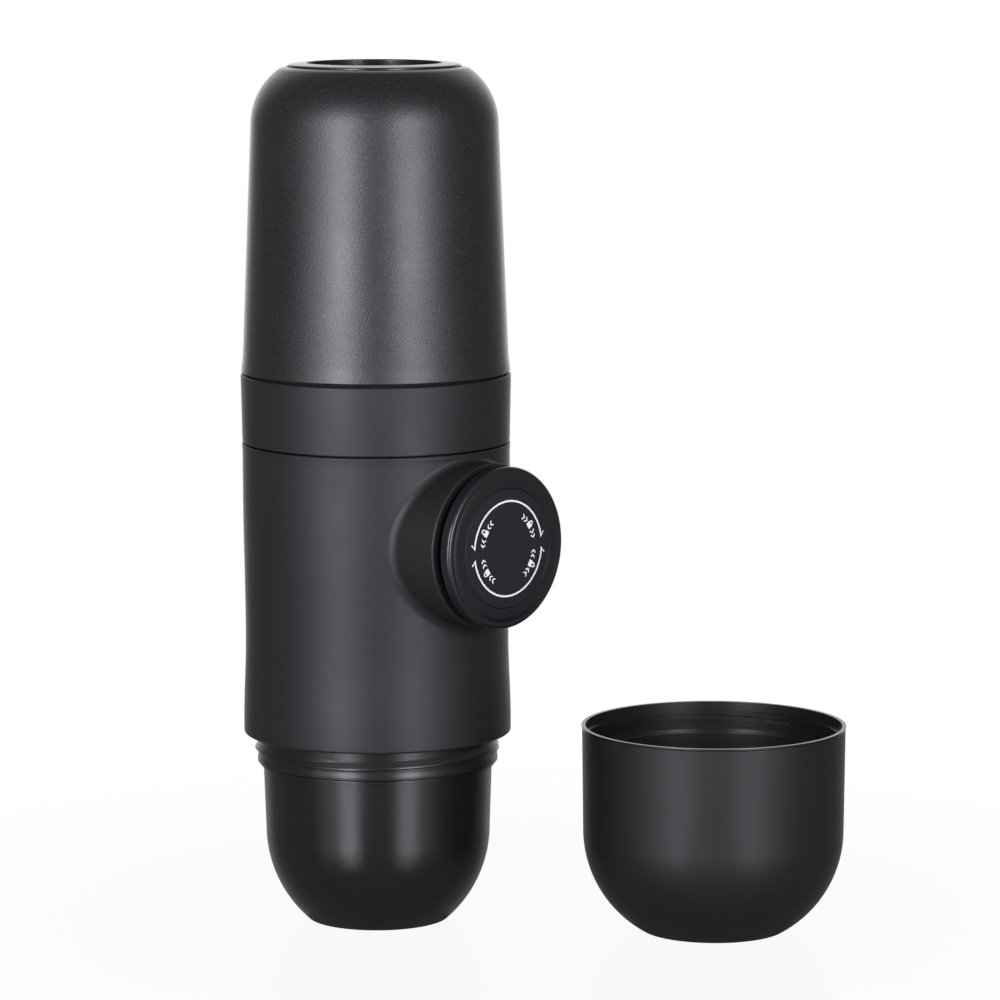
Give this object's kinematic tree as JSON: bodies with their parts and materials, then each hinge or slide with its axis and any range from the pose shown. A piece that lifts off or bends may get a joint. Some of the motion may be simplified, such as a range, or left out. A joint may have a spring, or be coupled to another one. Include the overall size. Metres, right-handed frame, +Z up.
{
  "type": "handheld manual espresso maker",
  "caption": "Upright handheld espresso maker with a screwed water tank, a side piston pump knob, a domed outlet head and a loose round cup.",
  "frame": {"origin": "centre of the outlet head's foot, on the surface the maker stands on", "axes": "+Z up the maker's axis to the water tank; the loose cup stands on the +X side; the pump knob points 45.7 degrees from -Y towards +X"},
  "size_m": [0.1352, 0.0724, 0.1932],
  "materials": {
    "satin_black_shell": "satin, fine moulded grain",
    "gloss_black_head": "smooth gloss",
    "cup_black": "satin outside, smooth inside",
    "inner_dark_plastic": "plain moulded",
    "tank_liner_plastic": "smooth",
    "knob_face_print": "matte, printed in white",
    "stainless": "brushed",
    "soft_seal": "matte silicone"
  },
  "bodies": {
    "maker_body": {"main_body": "satin_black_shell", "collar_band": "satin_black_shell", "pump_block": "inner_dark_plastic", "pump_cylinder": "stainless", "gland": "inner_dark_plastic", "gland_screws": "stainless", "frame_screws": "stainless", "return_spring": "stainless", "inlet_valve": "soft_seal", "outlet_valve": "soft_seal", "threaded_neck": "gloss_black_head", "group_gasket": "soft_seal", "shower_plate": "stainless", "shower_screw": "stainless"},
    "piston": {"piston_rod": "inner_dark_plastic", "piston_head": "inner_dark_plastic", "piston_seal": "soft_seal", "knob_screw": "stainless"},
    "knob": {"knob_cap": "satin_black_shell", "knob_face": "knob_face_print"},
    "filter": {"filter_basket": "stainless"},
    "outlet": {"outlet_head": "gloss_black_head", "outlet_nozzle": "inner_dark_plastic"},
    "tank_seal": {"tank_gasket": "soft_seal"},
    "water_tank": {"tank_shell": "satin_black_shell", "tank_liner": "tank_liner_plastic", "tank_end_ring": "satin_black_shell", "air_valve": "soft_seal"},
    "cup_body": {"cup": "cup_black"}
  },
  "joints": [
    {"name": "piston_slide", "type": "slide", "parent": "maker_body", "child": "piston", "axis": [0.7157, -0.6984, 0], "range_m": [0, 0.016]},
    {"name": "knob_turn", "type": "hinge", "parent": "piston", "child": "knob", "pos_m": [0, 0, 0.0884], "axis": [0.7157, -0.6984, 0], "range_deg": [0, 90]},
    {"name": "tank_turn", "type": "hinge", "parent": "maker_body", "child": "tank_seal", "pos_m": [0, 0, 0.124], "axis": [0, 0, 1], "range_deg": [0, 900]},
    {"name": "tank_rise", "type": "slide", "parent": "tank_seal", "child": "water_tank", "axis": [0, 0, 1], "range_m": [0, 0.0076]},
    {"name": "outlet_turn", "type": "hinge", "parent": "filter", "child": "outlet", "pos_m": [0, 0, 0.036], "axis": [0, 0, -1], "range_deg": [0, 1080]},
    {"name": "outlet_drop", "type": "slide", "parent": "maker_body", "child": "filter", "axis": [0, 0, -1], "range_m": [0, 0.0091]},
    {"name": "cup_lift", "type": "slide", "parent": "maker_body", "child": "cup_body", "axis": [0, 0, 1], "range_m": [0, 0.21]}
  ],
  "couplings": [
    {"joint": "tank_rise", "follows": "tank_turn", "m_per_rad": 0.00047746},
    {"joint": "outlet_drop", "follows": "outlet_turn", "m_per_rad": 0.00047746}
  ]
}
